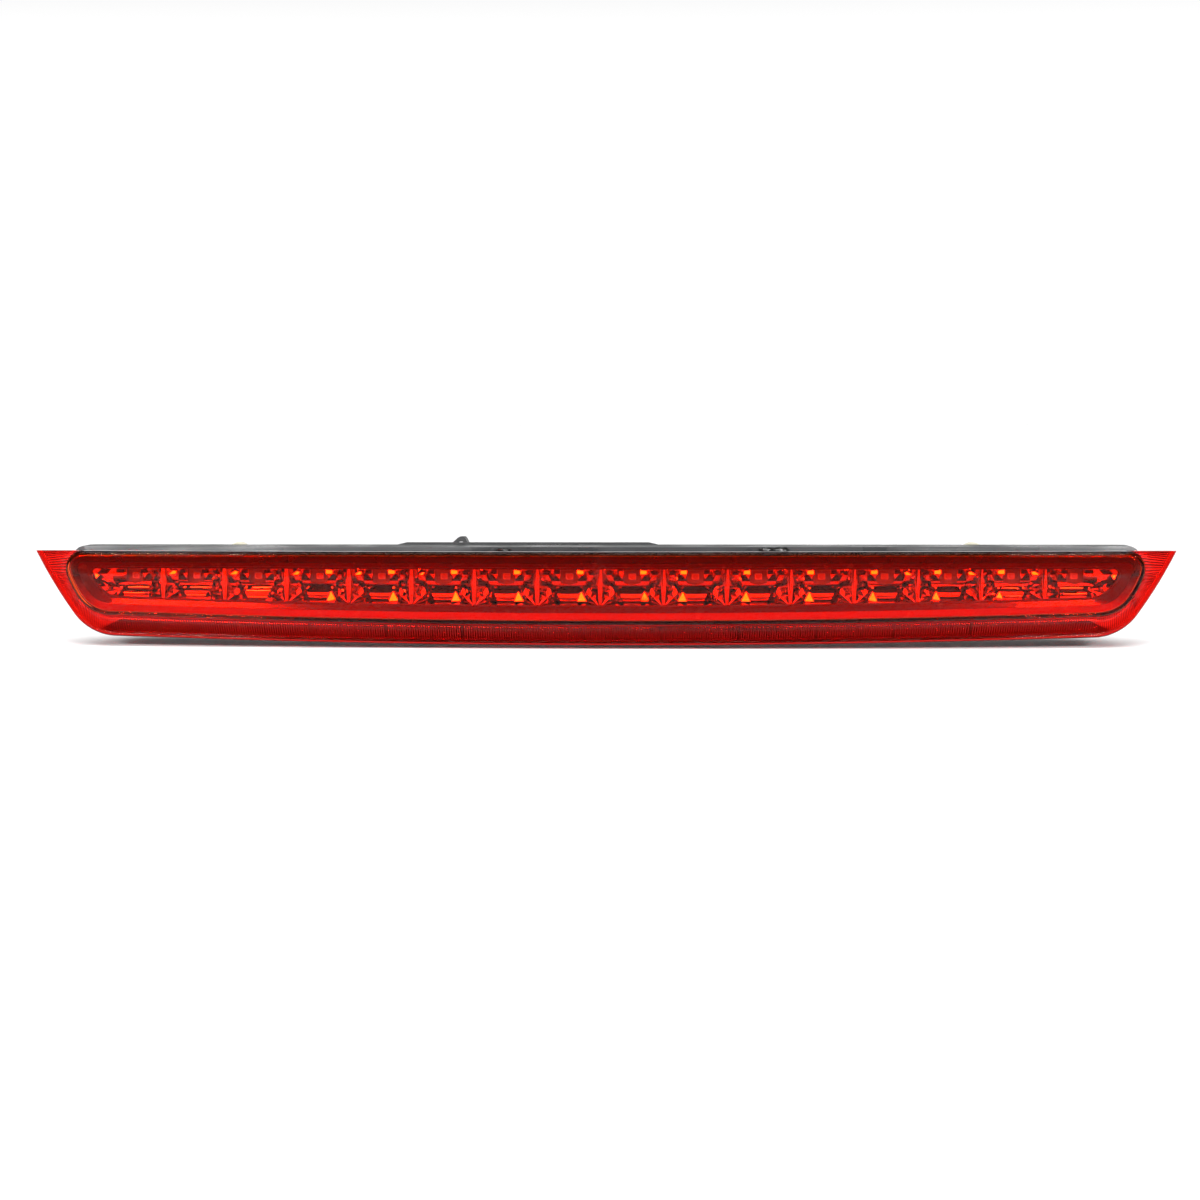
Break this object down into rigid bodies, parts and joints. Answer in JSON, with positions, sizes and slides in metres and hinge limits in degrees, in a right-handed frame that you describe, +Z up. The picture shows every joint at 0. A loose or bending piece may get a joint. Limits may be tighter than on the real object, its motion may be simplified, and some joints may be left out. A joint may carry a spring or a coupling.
{
  "type": "third brake light",
  "caption": "Wide, bowed high-mount stop lamp: red lens with a fluted flange over faceted LED reflector cells, black rear housing with studs and a plug socket.",
  "frame": {"origin": "midway between the two mounting studs, on the plane of the body panel", "axes": "+X to the right seen from behind the car, +Y forwards into the car along the studs, +Z up; the lens faces -Y"},
  "size_m": [0.5028, 0.062, 0.0455],
  "materials": {
    "red_lens": "polished transparent red acrylic",
    "red_bezel": "moulded red, glossy",
    "reflector_metallised": "vacuum metallised, mirror bright",
    "led_package": "satin moulded package",
    "board_white": "white solder mask, semi-gloss",
    "chip_black": "moulded epoxy, satin",
    "header_white": "natural nylon, satin",
    "housing_black": "moulded ABS, glossy",
    "cover_black": "moulded, fine grain",
    "sealant_black": "cured bead, glossy",
    "seal_rubber": "soft silicone, matt",
    "foam_black": "closed-cell foam, matt",
    "spacer_nylon": "natural nylon, satin",
    "zinc_steel": "zinc plated, satin",
    "screw_steel": "zinc plated, bright",
    "pin_brass": "tin plated brass, bright",
    "wire_red": "PVC insulation, satin",
    "wire_black": "PVC insulation, satin",
    "membrane_white": "porous film, matt"
  },
  "bodies": {
    "root": {"outer_lens": "red_lens", "inner_bezel": "red_bezel", "reflector": "reflector_metallised", "led_board": "board_white", "led_01": "led_package", "led_02": "led_package", "led_03": "led_package", "led_04": "led_package", "led_05": "led_package", "led_06": "led_package", "led_07": "led_package", "led_08": "led_package", "led_09": "led_package", "led_10": "led_package", "led_11": "led_package", "led_12": "led_package", "led_13": "led_package", "led_14": "led_package", "led_15": "led_package", "led_16": "led_package", "resistor_1": "chip_black", "resistor_2": "chip_black", "resistor_3": "chip_black", "resistor_4": "chip_black", "resistor_5": "chip_black", "resistor_6": "chip_black", "resistor_7": "chip_black", "resistor_8": "chip_black", "polarity_diode": "chip_black", "current_regulator": "chip_black", "board_header": "header_white", "board_screws": "screw_steel", "sealant_bead": "sealant_black", "housing": "housing_black", "wiring_cover": "cover_black", "cover_screws": "screw_steel", "connector_socket": "cover_black", "connector_seal": "seal_rubber", "socket_screws": "screw_steel", "supply_pin": "pin_brass", "ground_pin": "pin_brass", "supply_wire": "wire_red", "ground_wire": "wire_black", "stud_left": "zinc_steel", "stud_right": "zinc_steel", "stud_spacer_left": "spacer_nylon", "stud_spacer_right": "spacer_nylon", "upper_foam_1": "foam_black", "upper_foam_2": "foam_black", "upper_foam_3": "foam_black", "upper_foam_4": "foam_black", "lower_foam": "foam_black", "end_foam_left": "foam_black", "end_foam_right": "foam_black", "edge_seal": "foam_black", "vent_membrane": "membrane_white", "vent_cap": "cover_black"}
  },
  "joints": []
}
